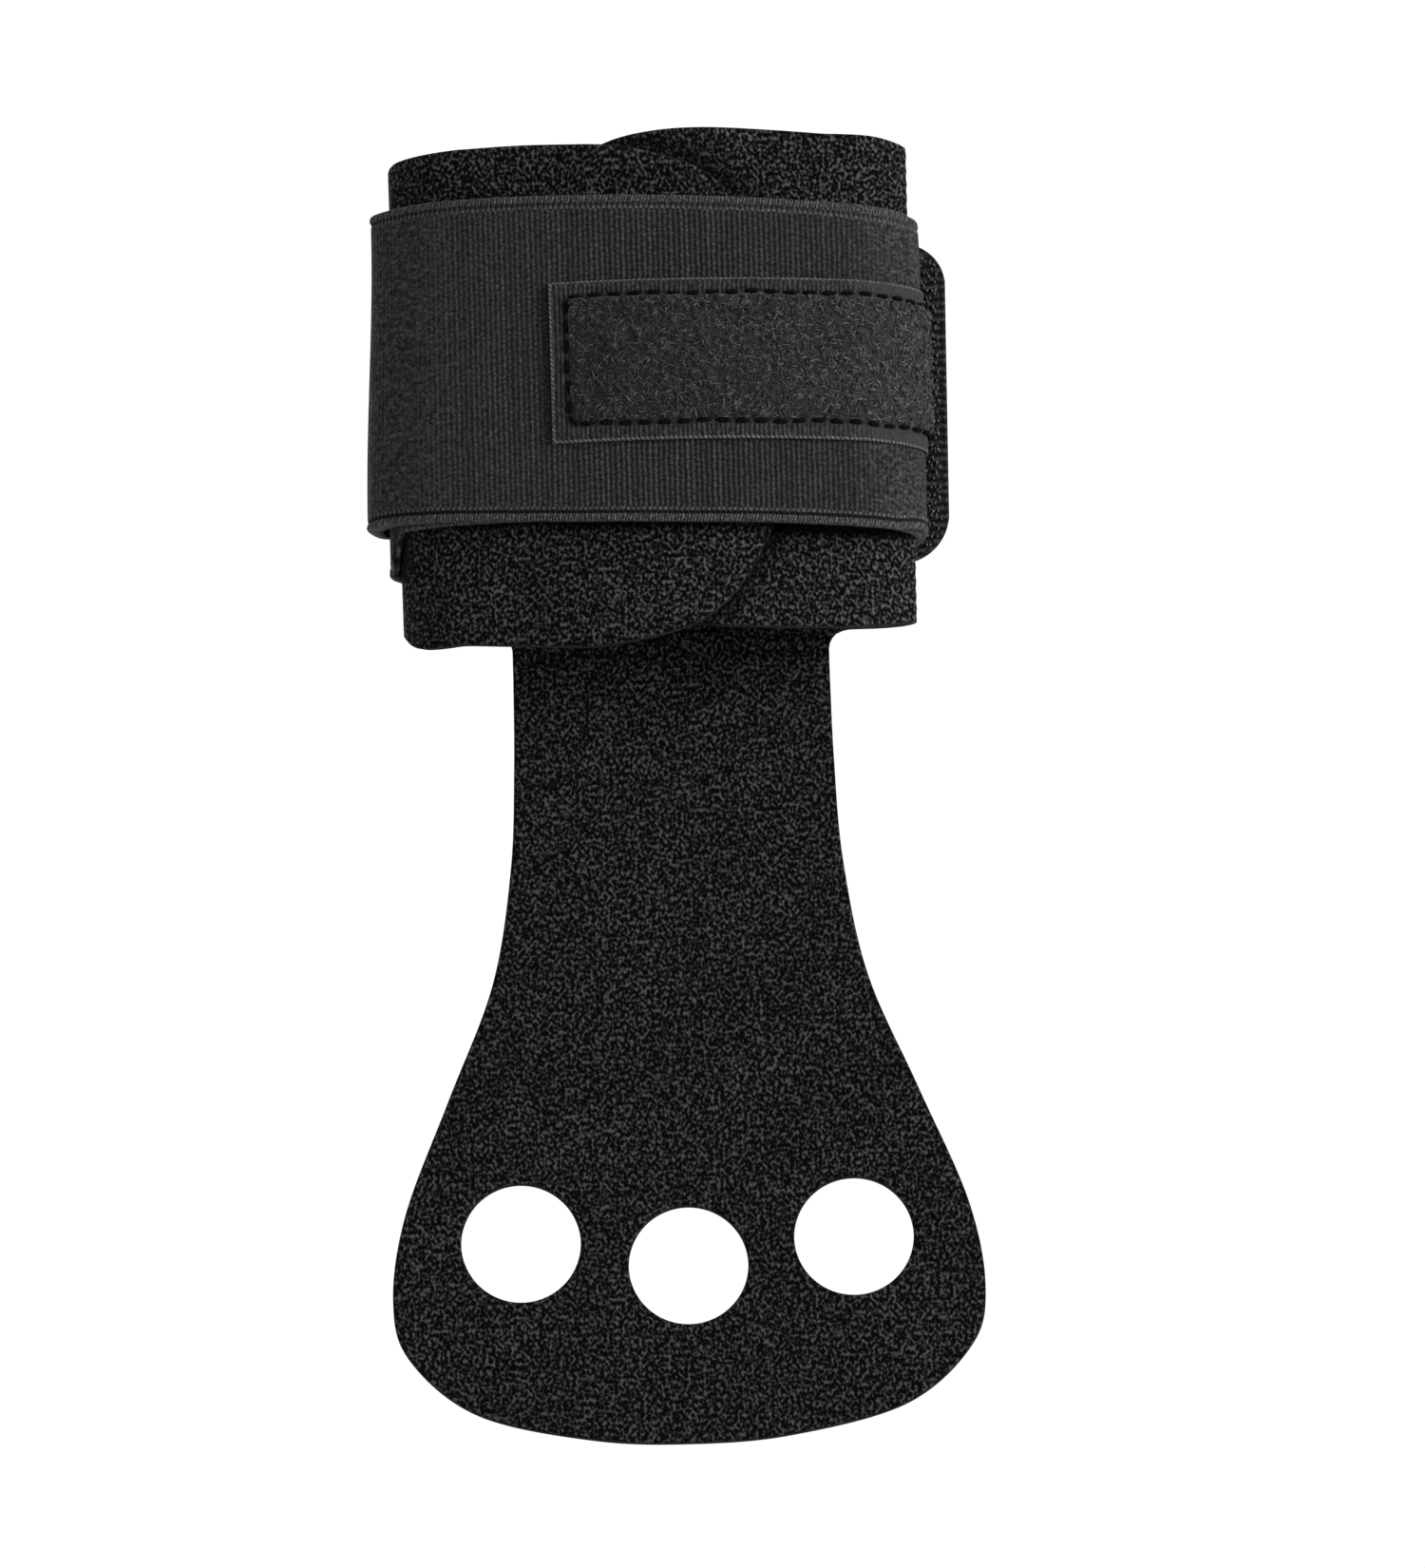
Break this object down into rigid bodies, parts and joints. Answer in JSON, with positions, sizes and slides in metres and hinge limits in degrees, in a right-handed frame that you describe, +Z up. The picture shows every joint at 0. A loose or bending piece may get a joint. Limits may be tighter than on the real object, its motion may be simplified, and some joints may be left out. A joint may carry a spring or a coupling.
{
  "type": "hand grip",
  "caption": "Soft bar grip: a palm sheet with finger holes whose wings wrap the wrist under a wide elastic strap closed by a hook-and-loop tab.",
  "frame": {"origin": "centre of the wrist opening, at half the height of the elastic", "axes": "+Z up the forearm away from the palm, -Y the front face where the wings overlap and the loop patch starts, +Y the back face where the hook tab closes, +X to the right seen from the front"},
  "size_m": [0.0912, 0.0324, 0.2033],
  "materials": {
    "sheet": "black pebbled microfibre with a matt, slightly suede face",
    "elastic": "black ribbed woven elastic",
    "loop": "black brushed loop pile",
    "hook": "dark grey twill-woven hook tape",
    "thread": "black sewing thread"
  },
  "bodies": {
    "cuff": {"wrist_cuff": "sheet", "elastic_wrap": "elastic", "loop_patch": "loop", "loop_patch_stitching": "thread", "anchor_stitch_row_1": "thread", "anchor_stitch_row_2": "thread"},
    "palm": {"palm_panel": "sheet"},
    "finger_end": {"finger_panel": "sheet"},
    "strap_tail": {"elastic_tail": "elastic", "hook_tab_sewn_end": "hook", "seam_stitch_row_1": "thread", "seam_stitch_row_2": "thread", "seam_stitch_row_3": "thread", "seam_stitch_row_4": "thread"},
    "tab": {"hook_tab": "hook"}
  },
  "joints": [
    {"name": "palm_flex", "type": "hinge", "parent": "cuff", "child": "palm", "pos_m": [0.0016, 0.008, -0.0475], "axis": [1, 0, 0], "range_deg": [-85, 90]},
    {"name": "finger_flex", "type": "hinge", "parent": "palm", "child": "finger_end", "pos_m": [0.0016, 0.008, -0.137], "axis": [1, 0, 0], "range_deg": [-100, 60]},
    {"name": "tail_swing", "type": "hinge", "parent": "cuff", "child": "strap_tail", "pos_m": [-0.028, 0.0135, 0], "axis": [0, 0, 1], "range_deg": [0, 110]},
    {"name": "tab_peel", "type": "hinge", "parent": "strap_tail", "child": "tab", "pos_m": [-0.007, 0.0152, 0], "axis": [0, 0, 1], "range_deg": [0, 110]}
  ]
}
